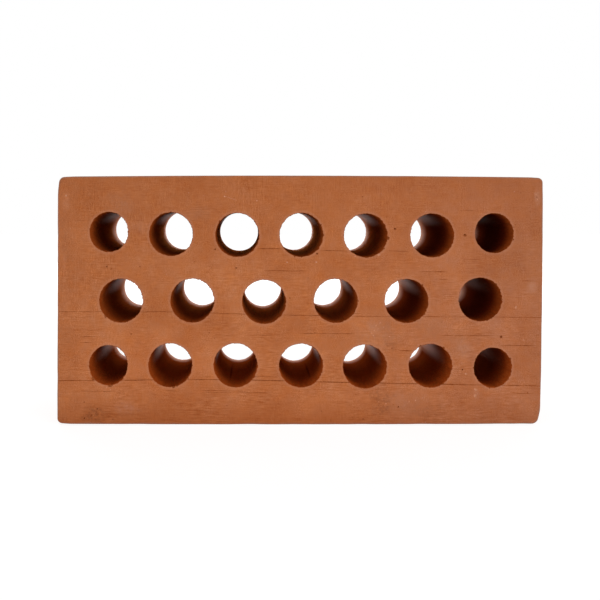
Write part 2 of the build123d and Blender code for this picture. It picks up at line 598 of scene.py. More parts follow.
# Scores of the front face: groove radius, then points (x, z), all in millimetres
SCORES = [
    (0.27, [(-118, 20.7), (-47, 21.4), (-14, 21), (14, 20.2), (48, 19.5), (79, 18.9), (118, 18.1)]),
    (0.18, [(-118, 53.6), (-61.1, 53.5), (-33.2, 52.6), (-0.3, 51.8), (33.5, 51.3), (118, 51)]),
    (0.27, [(-20.2, 83.4), (-8.5, 83.3)]),
    (0.22, [(8.7, 82.4), (22.8, 82.3)]),
    (0.14, [(41, 82.4), (52, 82.2)]),
    (0.22, [(-17.3, 72.9), (3.7, 72.8)]),
    (0.18, [(56, 72.7), (63.5, 72.6)]),
    (0.28, [(62.4, 72.6), (69.8, 72.6)]),
    (0.27, [(65.9, 68.9), (69.8, 68.9)]),
    (0.27, [(76.6, 78.7), (85.2, 78.6)]),
    (0.18, [(75.3, 101.8), (84.5, 101.6)]),
    (0.18, [(104.2, 68.4), (113.4, 68.3)]),
    (0.16, [(-65, 16.1), (-57, 16)]),
    (0.22, [(-47.5, 16.2), (-24.5, 15.9)]),
    (0.14, [(-47, 15.3), (-14, 15.2)]),
    (0.19, [(-107, 15.8), (-88, 15.7)]),
    (0.16, [(-0.3, 43.3), (26, 43.1)]),
    (0.18, [(-21.2, 42.5), (-12.3, 42.4)]),
    (0.16, [(66.4, 42.3), (92.2, 42.2)]),
    (0.22, [(94.2, 37.5), (112.2, 37.5)]),
    (0.27, [(46.5, 35.1), (53.8, 35)]),
    (0.25, [(-101.2, 44.8), (-95, 44.8)]),
    (0.24, [(-104.3, 41.8), (-97, 41.8)]),
    (0.23, [(-104.3, 38.9), (-98.5, 38.9)]),
    (0.15, [(15, 52.8), (29.5, 52.7)]),
    (0.15, [(22.6, 50.1), (26, 50.1)]),
    (0.17, [(59, 53.4), (62.4, 53.3)]),
    (0.17, [(59.5, 52), (62.6, 52)]),
    (0.16, [(102.6, 14.6), (112, 14.6)]),
    (0.14, [(-47.3, 22.7), (-40.2, 22.6)]),
    (0.15, [(-24.6, 22.9), (-10.5, 22.6)]),
    (0.18, [(-107, 97.1), (-99.4, 97.1)]),
    (0.17, [(-78, 96.9), (-73.3, 96.9)]),
]

# A pale scratch near the top
SCRATCHES = [(0.16, [(-35.7, 108.3), (-33.2, 107.3), (-29.6, 106.2)])]

# Crumbs lost from the front face: radius, then (x, z), in millimetres
CRUMBS = [
    (0.5, (-40.2, 83.1)), (0.6, (8.1, 81)), (0.65, (44.9, 92.9)), (0.75, (78, 90)),
    (0.75, (95.5, 41.7)), (0.55, (77, 26)), (0.5, (-80, 43)), (1.2, (-89.9, 18.8)),
    (0.9, (-98, 21.7)), (0.6, (64, 18.9)), (0.9, (41.6, 88.4)), (0.5, (-98.9, 4.1)),
    (0.45, (-91.5, 75)), (0.4, (-89.5, 73.8)), (0.5, (-75.8, 75)), (0.4, (-50, 77.2)),
    (0.5, (-30.2, 74.2)), (0.5, (46.4, 8.4)), (0.3, (108.6, 15)), (0.3, (10.2, 6.4)),
    (0.35, (44.1, 9.4)), (0.4, (-96.1, 7.3)), (0.5, (-102.2, 2.9)), (0.35, (-88.6, 2.4)),
    (0.4, (29.8, 2.6)), (0.35, (-4.8, 60)), (0.35, (41.5, 37.3)), (0.4, (43.5, 36.2)),
    (0.3, (29.5, 108)), (0.3, (41, 98.5)), (0.3, (104.4, 110.5)), (0.35, (112, 108.6)),
    (0.3, (-43, 43.5)), (0.3, (-40.5, 41)), (0.35, (-102.2, 10.6)),
]

# Pale grains of lime that show in the front face: radius, then (x, z), in millimetres
FLECKS = [
    (0.5, (-6.1, 76.9)), (0.4, (7.6, 77)), (0.55, (102.4, 55.7)), (0.8, (83.6, 16.6)),
    (0.8, (83.2, 13.7)), (0.6, (106.3, 40.2)), (0.75, (78.8, 24)), (0.4, (33.9, 43.4)),
    (0.5, (37.9, 48.2)), (0.45, (40.6, 9.9)), (0.4, (57.9, 12.6)), (0.4, (-35.7, 108.1)),
    (0.4, (-20.5, 106.1)), (0.6, (26.1, 79.9)), (0.65, (37.3, 80.6)), (0.4, (111.6, 109.8)),
    (0.35, (112.4, 107.4)), (0.4, (-91.6, 17.5)), (0.35, (-89.8, 16.6)), (0.5, (-111, 108.8)),
    (0.4, (35.2, 44.7)), (0.35, (36, 47)), (0.35, (34.7, 42.2)), (0.35, (36.9, 45.5)),
    (0.35, (42.3, 41.8)), (0.3, (39.6, 46.3)), (0.4, (51.6, 10.9)), (0.35, (37.2, 10.8)),
    (0.3, (54.6, 11.5)),
]

# Seams that nicks in the cores drew along two bores: where they lie (x, z), in millimetres,
# and how far they reach
SEAMS = [(-33.5, 18.2), (5.9, 19.3)]
SEAM_REACH = (0.7 * MM, 30 * MM, 3 * MM)

# Marks of the hidden sides: their seed, how many, and from which to which size in millimetres
MARK_SEED = 5
BACK_SCORES = 16
BACK_SCORE_RADII = (0.18, 0.3)
BACK_SCORE_LENGTHS = (6, 34)
PITS = {"top": 16, "foot": 16, "left": 8, "right": 8, "back": 14}
PIT_RADII = (0.25, 1.0)


def even_holes(record):
    """(x, z, radius) of each row's holes, from the left, with even webs.

    The record states an outer row's corner and centre holes, and the whole of the middle row.
    """
    bores = {
        mount["name"]: (mount["pos_m"][0], mount["pos_m"][2], mount["dims"]["r_mm"] * MM)
        for mount in record["mounts"] if mount["kind"] == "bore"
    }
    rows = {"middle": [bore for name, bore in bores.items() if name.startswith("middle")]}
    for row in ("bottom", "top"):
        corner_x, _, corner = bores[f"{row}_hole_7"]
        centre_x, z, radius = bores[f"{row}_hole_4"]
        web = (corner_x - corner - centre_x - 5 * radius) / 3
        pitch = 2 * radius + web
        inner = [(centre_x + steps * pitch, z, radius) for steps in (-2, -1, 0, 1, 2)]
        rows[row] = [bores[f"{row}_hole_1"], *inner, bores[f"{row}_hole_7"]]
    return {row: sorted(holes) for row, holes in rows.items()}


def drifted_holes(record):
    """(x, z, radius, squeeze, far drift) of every hole, where the fired block has it."""
    rows = even_holes(record)
    largest = max(radius for holes in rows.values() for _, _, radius in holes)
    return [
        (
            x + dx * MM, z + dz * MM, radius - SHRINKAGE,
            SQUEEZE if radius == largest else CORNER_SQUEEZE, far,
        )
        for row, holes in rows.items()
        for (x, z, radius), (dx, dz), far in zip(holes, DRIFT[row], FAR_DRIFT[row])
    ]


def point_object(name, points, attributes, edges=()):
    """A bare mesh of points, in metres, with a float attribute for each of them."""
    mesh = bpy.data.meshes.new(name)
    mesh.from_pydata(points, list(edges), [])
    for title, values in attributes.items():
        mesh.attributes.new(title, "FLOAT", "POINT").data.foreach_set("value", values)
    thing = bpy.data.objects.new(name, mesh)
    bpy.context.scene.collection.objects.link(thing)
    return thing


def line_object(name, lines):
    """Chains of edges: each line is a groove radius and its points (x, y, z), in metres."""
    points = []
    radii = []
    edges = []
    for radius, line in lines:
        edges += [(len(points) + i, len(points) + i + 1) for i in range(len(line) - 1)]
        points += line
        radii += [radius] * len(line)
    return point_object(name, points, {"score_radius": radii}, edges)


def crumb_object(name, crumbs):
    """Points: each crumb is a radius and its place (x, y, z), in metres."""
    places = [place for _, place in crumbs]
    return point_object(name, places, {"crumb_radius": [radius for radius, _ in crumbs]})


def lines_on_front(lines):
    """Grooves given in millimetres, on the front face in metres."""
    return [
        (radius * MM, [(x * MM, LOW.y, z * MM) for x, z in line])
        for radius, line in lines
    ]


def spots_on_front(spots):
    """Crumbs given in millimetres, on the front face in metres."""
    return [(radius * MM, (x * MM, LOW.y, z * MM)) for radius, (x, z) in spots]


def back_scores(chance):
    """Scores of the back face: two right across and the others short, each at a height of its own."""
    lines = []
    spacing = SIZE.z / (BACK_SCORES + 1)
    for number in range(BACK_SCORES):
        right_across = number % 9 == 4
        radius = chance.uniform(*BACK_SCORE_RADII) * MM
        length = 1.1 * SIZE.x if right_across else chance.uniform(*BACK_SCORE_LENGTHS) * MM
        start = -0.55 * SIZE.x if right_across else chance.uniform(LOW.x, HIGH.x - length)
        z = LOW.z + (number + chance.uniform(0.7, 1.3)) * spacing
        tilt = chance.uniform(-0.01, 0.01)
        lines.append((radius, [(start, HIGH.y, z), (start + length, HIGH.y, z + tilt * length)]))
    return lines


def hidden_pits(chance):
    """Crumbs lost from the back and the sides, in no order."""
    spots = {
        "top": lambda u, v: (LOW.x + u * SIZE.x, LOW.y + v * SIZE.y, HIGH.z),
        "foot": lambda u, v: (LOW.x + u * SIZE.x, LOW.y + v * SIZE.y, LOW.z),
        "left": lambda u, v: (LOW.x, LOW.y + v * SIZE.y, LOW.z + u * SIZE.z),
        "right": lambda u, v: (HIGH.x, LOW.y + v * SIZE.y, LOW.z + u * SIZE.z),
        "back": lambda u, v: (LOW.x + u * SIZE.x, HIGH.y, LOW.z + v * SIZE.z),
    }
    smallest, largest = PIT_RADII
    pits = []
    for side, count in PITS.items():
        for number in range(count):
            u = (number + chance.uniform(0.25, 0.75)) / count
            v = chance.uniform(0.06, 0.94)
            radius = smallest + (largest - smallest) * chance.random() ** 2
            pits.append((radius * MM, spots[side](u, v)))
    return pits


def pierced_block(finishes):
    """The block as a plain mesh, from its tree of geometry nodes."""
    chance = random.Random(MARK_SEED)
    holes = drifted_holes(frame["record"])
    clay = point_object("hole_points", [(x, 0.0, z) for x, z, _, _, _ in holes], {
        "bore_radius": [radius for _, _, radius, _, _ in holes],
        "squeeze_across": [across for _, _, _, (across, _), _ in holes],
        "squeeze_upright": [upright for _, _, _, (_, upright), _ in holes],
        "far_drift_x": [x * MM for *_, (x, _, _) in holes],
        "far_drift_z": [z * MM for *_, (_, z, _) in holes],
        "far_flare": [wider * MM for *_, (_, _, wider) in holes],
    })
    marks = {
        "Scores": line_object("scores", lines_on_front(SCORES) + back_scores(chance)),
        "Scratches": line_object("scratches", lines_on_front(SCRATCHES)),
        "Crumbs": crumb_object("crumbs", spots_on_front(CRUMBS) + hidden_pits(chance)),
        "Flecks": crumb_object("flecks", spots_on_front(FLECKS)),
    }
    tree = pierced_block_group(finishes)
    modifier = clay.modifiers.new("pierced_block", "NODES")
    modifier.node_group = tree
    for item in tree.interface.items_tree:
        if item.in_out == "INPUT" and item.name in marks:
            modifier[item.identifier] = marks[item.name]
    graph = bpy.context.evaluated_depsgraph_get()
    mesh = bpy.data.meshes.new_from_object(clay.evaluated_get(graph))
    for helper in (clay, *marks.values()):
        bpy.data.objects.remove(helper)
    mesh.name = "fired_block"
    mesh.materials.pop(index=list(mesh.materials).index(None))
    mesh.polygons.foreach_set("use_smooth", [True] * len(mesh.polygons))
    mesh.set_sharp_from_angle(angle=SHARP_ANGLE)
    block = bpy.data.objects.new("fired_block", mesh)
    bpy.context.scene.collection.objects.link(block)
    return block


# Effects that the finishes draw on, in shader nodes


def mix(factor, first, second):
    """From the first colour to the second."""
    inputs = {"Factor_Float": factor, "A_Color": first, "B_Color": second}
    return add(factor.tree, "ShaderNodeMix", inputs, output="Result_Color", data_type="RGBA")


def changed(colour, amount, shares):
    """A colour whose red, green and blue each grow by their share of an amount."""
    change = add(amount.tree, "ShaderNodeVectorMath", (shares, amount, (1, 1, 1)), operation="MULTIPLY_ADD")
    return vector_math("MULTIPLY", colour, change)


def fired_tone_group():
    """The kiln's colour: one clay flashed to another, with clouds, mottling and a fine grain."""
    tree, given = node_group("ShaderNodeTree", "fired_tone", {
        "Vector": (VECTOR, None),
        "Clay": (COLOUR, CLAY), "Flashed Clay": (COLOUR, PINK_CLAY), "Flash": (FLOAT, 0.0),
        "Clouds": (FLOAT, 0.3), "Mottle": (FLOAT, 0.08), "Grain": (FLOAT, 0.3), "Tint": (FLOAT, 0.4),
    }, {"Color": COLOUR})
    place = given["Vector"]
    colour = mix(given["Flash"], given["Clay"], given["Flashed Clay"])
    clouds = sway(place, 20 * MM, detail=4.0, roughness=0.5) * given["Clouds"]
    mottle = sway(place, 3 * MM, detail=2.0) * given["Mottle"]
    elsewhere = vector_math("ADD", place, (0.3, 0.2, 0.1))
    coarse = ramp(noise(elsewhere, 9 * MM), 0.35, 0.65, 0.3, 1.7)
    grain = sway(place, 0.5 * MM, detail=1.0) * given["Grain"] * coarse
    tint = sway(elsewhere, 6 * MM, detail=3.0, roughness=0.7) * given["Tint"]
    colour = changed(colour, clouds + mottle + grain, PALING)
    return put_out(tree, {"Color": changed(colour, tint, GREYING)})


def drag_line_group():
    """Lines that clay shows where wire or die has slid along it. Stretch is small along the lines."""
    tree, given = node_group("ShaderNodeTree", "drag_lines", {
        "Vector": (VECTOR, None), "Stretch": (VECTOR, (1, 1, 1)),
    }, {"Lines": FLOAT, "Furrows": FLOAT})
    drawn_out = vector_math("MULTIPLY", given["Vector"], given["Stretch"])
    dashes = sway(drawn_out, 0.5 * MM, detail=1.0)
    drawn_far = vector_math("MULTIPLY", drawn_out, given["Stretch"])
    stripes = sway(drawn_far, 0.8 * MM, detail=3.0, roughness=0.7)
    areas = sway(vector_math("ADD", given["Vector"], given["Stretch"]), 14 * MM, detail=2.0)
    lines = (dashes + stripes * 0.6) * ramp(areas, -0.3, 0.35, 0.15, 2.1)
    furrows = ramp(stripes, 0.2, 0.45) * ramp(areas, -0.1, 0.3)
    return put_out(tree, {"Lines": lines, "Furrows": furrows})


def grit_group():
    """Scattered specks: pits where grains fell out and pale grains that stayed."""
    tree, given = node_group("ShaderNodeTree", "grit", {
        "Vector": (VECTOR, None), "Cell": (FLOAT, 3.5 * MM),
        "Pit Share": (FLOAT, 0.15), "Grain Share": (FLOAT, 0.06),
    }, {"Pits": FLOAT, "Grains": FLOAT})
    scaled = {"Vector": given["Vector"], "Scale": 1.0 / given["Cell"]}
    cells = add_node(tree, "ShaderNodeTexVoronoi", scaled)
    distance = Wire(tree, cells.outputs["Distance"])
    kind, size, _ = split(Wire(tree, cells.outputs["Color"]))
    speck = ramp(distance / ramp(size, 0.0, 1.0, 0.06, 0.16), 0.7, 1.2, 1.0, 0.0)
    pits = speck * kind.below(given["Pit Share"])
    grains = speck * kind.above(1.0 - given["Grain Share"])
    return put_out(tree, {"Pits": pits, "Grains": grains})


def edge_rub_group():
    """Where handling rubs: along the block's outer edges, broken up by noise."""
    tree, given = node_group("ShaderNodeTree", "edge_rub", {
        "Vector": (VECTOR, None), "Width": (FLOAT, 2.5 * MM),
    }, {"Rub": FLOAT})
    x, y, z = split(given["Vector"])
    depths = [SIZE.x / 2 - abs(x), SIZE.y / 2 - abs(y), z.least(SIZE.z - z)]
    first, second, third = depths
    from_edge = first.least(second).most(first.most(second).least(third))
    near = ramp(from_edge / given["Width"], 0.0, 1.0, 1.0, 0.0, smooth=True)
    broken = ramp(noise(given["Vector"], 6 * MM, detail=5.0, roughness=0.65), 0.48, 0.68)
    return put_out(tree, {"Rub": near * broken})


def arris_group():
    """Painted shade with some dust along the arrises that the wire left: up to 1 on them, broken up by
    noise, 0 beyond the width.
    """
    tree, given = node_group("ShaderNodeTree", "arris", {"Width": (FLOAT, 1.2 * MM)}, {"Nearness": FLOAT})
    straight = add(tree, "ShaderNodeAttribute", output="Vector", attribute_name="straight_place")
    x, y, z = split(straight)
    over_x = (abs(x) - (SIZE.x / 2 - DIE_CORNER)).most(0.0)
    over_z = (abs(z - SIZE.z / 2) - (SIZE.z / 2 - DIE_CORNER)).most(0.0)
    from_outline = DIE_CORNER - (over_x * over_x + over_z * over_z).root()
    from_cut = SIZE.y / 2 - abs(y)
    worn = ramp(noise(straight, 7 * MM, detail=4.0, roughness=0.65), 0.38, 0.62, 0.25, 1.0)
    nearness = ramp(from_outline.most(from_cut) / given["Width"], 0.1, 1.0, 1.0, 0.0) * worn
    return put_out(tree, {"Nearness": nearness})


def soft_patch_group():
    """A patch with a ragged, faded edge around a place."""
    tree, given = node_group("ShaderNodeTree", "soft_patch", {
        "Vector": (VECTOR, None), "Centre": (VECTOR, (0, 0, 0)), "Radii": (VECTOR, (0.005, 0.005, 0.005)),
        "Ragged": (FLOAT, 0.0),
    }, {"Patch": FLOAT})
    off = vector_math("DIVIDE", vector_math("SUBTRACT", given["Vector"], given["Centre"]), given["Radii"])
    distance = add(tree, "ShaderNodeVectorMath", [off], operation="LENGTH", output="Value")
    return put_out(tree, {"Patch": ramp(distance + given["Ragged"], 0.1, 1.1, 1.0, 0.0, smooth=True)})


# Finishes


def clay_material(name, roughness, gloss):
    """A matt clay material, its node tree, its shader and the place on the block as a wire."""
    material = bpy.data.materials.new(name)
    material.use_nodes = True
    tree = material.node_tree
    shader = tree.nodes["Principled BSDF"]
    shader.inputs["Roughness"].default_value = roughness
    shader.inputs["Specular IOR Level"].default_value = gloss
    return material, tree, shader, add(tree, "ShaderNodeTexCoord", output="Object")


def finish(tree, shader, colour, height, depth):
    """Plug a colour and a relief as deep as depth, in metres, into a shader."""
    plug(tree, shader.inputs["Base Color"], colour)
    plug(tree, shader.inputs["Normal"], add(tree, "ShaderNodeBump", {"Distance": depth, "Height": height}))


# Heights between which the looks change: over the lower half, up to the middle row, from the lowest
# row to the highest, and down the faces
LOWER_HALF = (15 * MM, 60 * MM)
TO_MIDDLE_ROW = (35 * MM, 55 * MM)
LOWEST_TO_HIGHEST = (30 * MM, 92 * MM)
UPPER_TO_LOWER = (85 * MM, 45 * MM)

# How much painted shade and some dust grey the arrises, then the coat's sheen on the bores' walls
# under the painted light from behind and at their far ends, and how rough that sheen is
ARRIS_SHADE_AND_DUST = 0.7
BACKLIT_SHEEN = 0.65
FAR_SHEEN = 0.5
SHEEN_ROUGHNESS = 0.5

# How drag lines are drawn out: along the wire's cut, upright across it, and as the clay left the die
WIRE_DRAWN = (0.12, 1, 1)
COMBED = (1, 1, 0.15)
SLID_OUT = (1, 0.15, 1)

# How far back from the front face a patch on it reaches
PATCH_DEPTH = 2 * MM

# Dust on the front face: colour, strength, then centre and half width (x, z) in millimetres
DUST = [
    (PALE_DUST, 0.30, (-82, 8), (7.0, 3.5)),
    (LIME, 0.40, (-111.5, 76), (1.8, 10.0)),
    (LIME, 0.55, (-110.8, 106), (2.5, 6.0)),
    (PALE_DUST, 0.45, (112.2, 107.5), (2.0, 5.0)),
    (PALE_DUST, 0.45, (109.7, 65.2), (3.0, 4.5)),
    (GREY_DUST, 0.45, (-83.9, 104), (9.0, 9.0)),
    (PALE_DUST, 0.25, (-76, 94.1), (7.0, 4.0)),
    (GREY_DUST, 0.32, (-50, 101), (8.0, 6.0)),
    (GREY_DUST, 0.45, (38, 44), (13.0, 13.0)),
    (PALE_DUST, 0.25, (34.5, 46), (5.0, 6.0)),
    (GREY_DUST, 0.35, (62, 47), (13.0, 8.0)),
    (GREY_DUST, 0.30, (50, 10), (18.0, 9.0)),
    (PALE_DUST, 0.15, (48, 12), (6.0, 5.0)),
    (GREY_DUST, 0.30, (75.3, 38.3), (8.0, 10.0)),
    (PALE_DUST, 0.28, (78.5, 35), (5.0, 7.0)),
    (PALE_DUST, 0.20, (92, 46), (8.0, 6.0)),
    (PALE_DUST, 0.45, (83.5, 15.5), (1.6, 4.0)),
]

# Dark smears on the front face, the same way
SMEARS = [
    (SOOT, 0.66, (-98.5, 4.5), (6.5, 5.5)),
    (SOOT, 0.15, (-78, 4.0), (20.0, 4.5)),
    (SOOT, 0.42, (38.5, 10), (7.0, 11.0)),
    (SOOT, 0.22, (62, 6), (9.0, 7.0)),
    (SOOT, 0.14, (-110.3, 84), (4.0, 24.0)),
    (SOOT, 0.30, (42.5, 38), (4.0, 3.0)),
    (SOOT, 0.40, (-113.5, 116), (2.5, 2.5)),
    (SOOT, 0.35, (-113, 2), (3.5, 3.5)),
]

# Where the front face is a shade lighter or deeper: by how much, then centre and half width (x, z)
# in millimetres
FLUSHES = [
    (0.12, (-70, 30), (50.0, 20.0)),
    (-0.06, (102, 78), (24.0, 24.0)),
]


def front_patch(tree, place, effect, centre, half_width, ragged=0.0):
    """A soft patch on the front face. Its centre and half width are (x, z) in millimetres."""
    (x, z), (wide, tall) = centre, half_width
    return use(tree, effect, {
        "Vector": place, "Centre": (x * MM, LOW.y, z * MM),
        "Radii": (wide * MM, PATCH_DEPTH, tall * MM), "Ragged": ragged,
    })


def dusted(tree, place, effect, colour):
    """A colour under the front face's dust and smears, mottled as they lie on rough clay."""
    ragged = sway(place, 5 * MM, detail=5.0, roughness=0.7)
    dots = noise(place, 1.8 * MM, detail=5.0, roughness=0.75)
    even = ramp(dots, 0.38, 0.64, 0.3, 1.0)
    spotty = ramp(dots, 0.42, 0.6, 0.05, 1.0)
    for patches, mottle in ((DUST, even), (SMEARS, spotty)):
        for patch_colour, strength, centre, half_width in patches:
            patch = front_patch(tree, place, effect, centre, half_width, ragged)
            colour = mix(patch * mottle * strength, colour, patch_colour)
    return colour


def wire_cut_face(effects):
    """Cut by the wire and left: fine lines along the cut, a foot deeper partly by painted shade, dusty
    patches, and arrises greyed by painted shade and some dust.
    """
    material, tree, shader, place = clay_material("wire_cut_face", roughness=0.9, gloss=0.12)
    x, _, z = split(place)
    cloud = sway(place, 35 * MM)
    flash = ramp(x + cloud * 30 * MM, 5 * MM, 105 * MM, smooth=True)
    colour = use(tree, effects["fired_tone"], {"Vector": place, "Flash": flash})
    # The foot is deeper, partly in the clay's colour and partly as painted shade near the floor
    foot = ramp(z + sway(place, 8 * MM, detail=4.0) * 4 * MM, 13 * MM, 1 * MM, 0.0, 0.8)
    foot = foot * ramp(x, 60 * MM, 105 * MM, 1.0, 0.6)
    head = ramp(z + cloud * 15 * MM, 70 * MM, 118 * MM, 0.0, 0.4)
    light = ramp(z, 25 * MM, 110 * MM, 1.03, 0.97) * ramp(abs(x - 20 * MM), 20 * MM, 110 * MM, 1.03, 0.965)
    for change, centre, half_width in FLUSHES:
        light = light + change * front_patch(tree, place, effects["soft_patch"], centre, half_width)
    colour = mix(foot, mix(head, colour, DEEP_CLAY), mix(flash, DEEP_CLAY, DEEP_PINK))
    colour = scale(colour, light)
    colour = mix(ramp(abs(x), 104 * MM, 112 * MM, 0.0, 0.06), colour, GREY_DUST)

    lines, furrows = use_all(tree, effects["drag_lines"], {"Vector": place, "Stretch": WIRE_DRAWN})
    cross_lines = use(tree, effects["drag_lines"], {"Vector": place, "Stretch": COMBED})
    furrows = furrows * ramp(z, *UPPER_TO_LOWER, 0.25, 0.5)
    combed = cross_lines * ramp(z - x * 0.4, 60 * MM, 120 * MM, 0.08, 0.17)
    colour = changed(colour, lines * ramp(z, *UPPER_TO_LOWER, 0.14, 0.23) + combed, PALING)
    colour = mix(furrows, colour, DEEP_CLAY)

    pits, grains = use_all(tree, effects["grit"], {"Vector": place})
    colour = mix(pits * 0.6, colour, BROKEN_CLAY_AND_GROOVE_SHADE)
    colour = mix(grains * 0.4, colour, PALE_DUST)
    colour = dusted(tree, place, effects["soft_patch"], colour)

    # Painted shade with some dust greys the arrises, and a painted highlight pales the holes' rims
    colour = mix(use(tree, effects["arris"], {}) * ARRIS_SHADE_AND_DUST, colour, SHADED_DUSTY_ARRIS)
    from_bore = add(tree, "ShaderNodeAttribute", output="Fac", attribute_name="from_bore")
    # Painted highlight: the face pales around the holes' rims
    colour = mix(ramp(from_bore, 0.0, 1.2 * MM, 0.25, 0.0), colour, PALE_DUST)
    grain = sway(place, 0.5 * MM, detail=3.0, roughness=0.6)
    relief = lines * 0.3 + cross_lines * 0.2 + grain * 0.4 - furrows - pits
    finish(tree, shader, colour, relief, depth=0.08 * MM)
    return material


def die_skin(effects):
    """Smoothed by the die: lines along the way it slid out, kiln flashes and rubbed edges."""
    material, tree, shader, place = clay_material("die_skin", roughness=0.8, gloss=0.15)
    flash = ramp(noise(place, 60 * MM, detail=3.0), 0.35, 0.65)
    colour = use(tree, effects["fired_tone"], {"Vector": place, "Flash": flash})
    lines, furrows = use_all(tree, effects["drag_lines"], {"Vector": place, "Stretch": SLID_OUT})
    colour = mix(furrows * 0.4, changed(colour, lines * 0.12, PALING), DEEP_CLAY)
    pits, grains = use_all(tree, effects["grit"], {"Vector": place, "Cell": 4 * MM})
    colour = mix(pits * 0.5, colour, BROKEN_CLAY_AND_GROOVE_SHADE)
    colour = mix(grains * 0.4, colour, PALE_DUST)
    colour = mix(use(tree, effects["edge_rub"], {"Vector": place}) * 0.35, colour, PALE_DUST)
    # Painted shade with some dust greys the arrises
    colour = mix(use(tree, effects["arris"], {}) * ARRIS_SHADE_AND_DUST, colour, SHADED_DUSTY_ARRIS)
    finish(tree, shader, colour, lines * 0.5 - furrows - pits, depth=0.1 * MM)
    return material


def bore_wall(effects):
    """The bores' walls: drawn smooth by the cores, and deeper in colour than the faces as painted shade,
    with painted light in places.
    """
    material, tree, shader, place = clay_material("bore_wall", roughness=0.85, gloss=0.0)
    x, y, z = split(place)
    # Painted shade: darker away from the near mouth, most at the right end and in the upper rows
    flash = ramp(x, 40 * MM, 100 * MM) * ramp(z, *LOWER_HALF, 0.4, 0.9)
    flash = flash + ramp(abs(x), 20 * MM, 60 * MM, 0.0, 0.3) * ramp(z, 38 * MM, 52 * MM)
    flash = flash * ramp(y, -36 * MM, -20 * MM)
    tone = {"Vector": place, "Clay": SHADED_BORE_CLAY, "Flashed Clay": BORE_SHADE_AND_SEAM, "Flash": flash}
    colour = use(tree, effects["fired_tone"], tone)
    lines, furrows = use_all(tree, effects["drag_lines"], {"Vector": place, "Stretch": SLID_OUT})
    colour = mix(furrows * 0.4, changed(colour, lines * 0.15, PALING), SOOT)
    # Painted light: the lower rows' bores are lighter and the upper ones darker
    colour = scale(colour, ramp(z, *LOWER_HALF, 1.15, 0.9))
    # Painted shade: darker past the middle of the lower rows' bores
    deep = ramp(y, -5 * MM, 15 * MM) * ramp(z, *TO_MIDDLE_ROW, 1.0, 0.0)
    colour = scale(colour, 1.0 - deep * 0.3)
    # Painted light: a lighter brown deeper in the upper rows' bores, less towards the ends
    from_middle = abs(x + 10 * MM) * 0.35
    lit_brown = ramp(z, 32 * MM, 72 * MM, 0.0, 0.9) * ramp(y - from_middle, -34 * MM, -8 * MM, 0.1, 1.0)
    lit_brown = lit_brown * ramp(x, 15 * MM, 50 * MM, 1.0, 0.1) * ramp(x, -100 * MM, -60 * MM, 0.4, 1.0)
    colour = mix(lit_brown, colour, LIT_BORE_BROWN)

    for seam_x, seam_z in SEAMS:
        seam = use(tree, effects["soft_patch"], {
            "Vector": place, "Centre": (seam_x * MM, 0.0, seam_z * MM), "Radii": SEAM_REACH,
        })
        colour = mix(seam * 0.8, colour, BORE_SHADE_AND_SEAM)

    # The rims take the face's clay as a painted highlight. A pale colour, painted as light from behind,
    # lies deep on the upper walls and at the far ends, with a faint sheen of coat
    # Painted highlight: the rims take the face's lighter clay
    colour = mix(ramp(SIZE.y / 2 - abs(y), 0.1 * MM, 0.4 * MM, 1.0, 0.0), colour, CLAY)
    _, _, facing_up = split(add(tree, "ShaderNodeTexCoord", output="Normal"))
    from_edge = ramp(z, *LOWEST_TO_HIGHEST, 0.32, -0.35) - facing_up
    backlit = ramp(from_edge, -0.08, 0.5, smooth=True) * ramp(y, -26 * MM, 5 * MM)
    backlit = backlit * ramp(z, *LOWEST_TO_HIGHEST, 1.1, 0.8)
    backlit = backlit * ramp(abs(x), 50 * MM, 100 * MM, 1.0, 0.65)
    backlit = backlit * ramp(x + z * 0.2, 80 * MM, 112 * MM, 1.0, 0.4)
    reach = ramp(z, *TO_MIDDLE_ROW, 11 * MM, 17 * MM)
    far_end = ramp((SIZE.y / 2 - y) / reach, 0.0, 1.0, 1.0, 0.0) ** 1.6
    colour = mix(backlit, colour, PALE_BACKLIGHT)
    colour = mix(far_end, colour, PALE_BACKLIGHT)
    shader.inputs["Coat Roughness"].default_value = SHEEN_ROUGHNESS
    plug(tree, shader.inputs["Coat Weight"], (backlit * BACKLIT_SHEEN).most(far_end * FAR_SHEEN))
    finish(tree, shader, colour, lines * 0.5 - furrows, depth=0.1 * MM)
    return material


def broken_clay_and_groove_shade(effects):
    """Fresh breaks: rough, granular and a little darker than the skin. In the scores' grooves this darker
    clay is painted shade.
    """
    material, tree, shader, place = clay_material("broken_clay_and_groove_shade", roughness=0.95, gloss=0.05)
    flash = ramp(noise(place, 2 * MM), 0.4, 0.6)
    tone = {"Vector": place, "Clay": BROKEN_CLAY_AND_GROOVE_SHADE, "Flashed Clay": DEEP_CLAY, "Flash": flash, "Grain": 0.4}
    colour = use(tree, effects["fired_tone"], tone)
    relief = noise(place, 0.4 * MM, detail=4.0, roughness=0.7)
    finish(tree, shader, colour, relief, depth=0.15 * MM)
    return material


def lime_fleck(effects):
    """Grains and smears of lime in the clay."""
    material, tree, shader, place = clay_material("lime_fleck", roughness=0.9, gloss=0.1)
    flash = ramp(noise(place, 0.6 * MM), 0.45, 0.65)
    tone = {"Vector": place, "Clay": LIME, "Flashed Clay": PALE_DUST, "Flash": flash}
    colour = use(tree, effects["fired_tone"], tone)
    finish(tree, shader, colour, noise(place, 0.3 * MM), depth=0.05 * MM)
    return material


def clay_finishes():
    """Every finish of the block, by name."""
    effects = {
        "fired_tone": fired_tone_group(),
        "drag_lines": drag_line_group(),
        "grit": grit_group(),
        "edge_rub": edge_rub_group(),
        "arris": arris_group(),
        "soft_patch": soft_patch_group(),
    }
    makers = (wire_cut_face, die_skin, bore_wall, broken_clay_and_groove_shade, lime_fleck)
    return {maker.__name__: maker(effects) for maker in makers}


# Studio


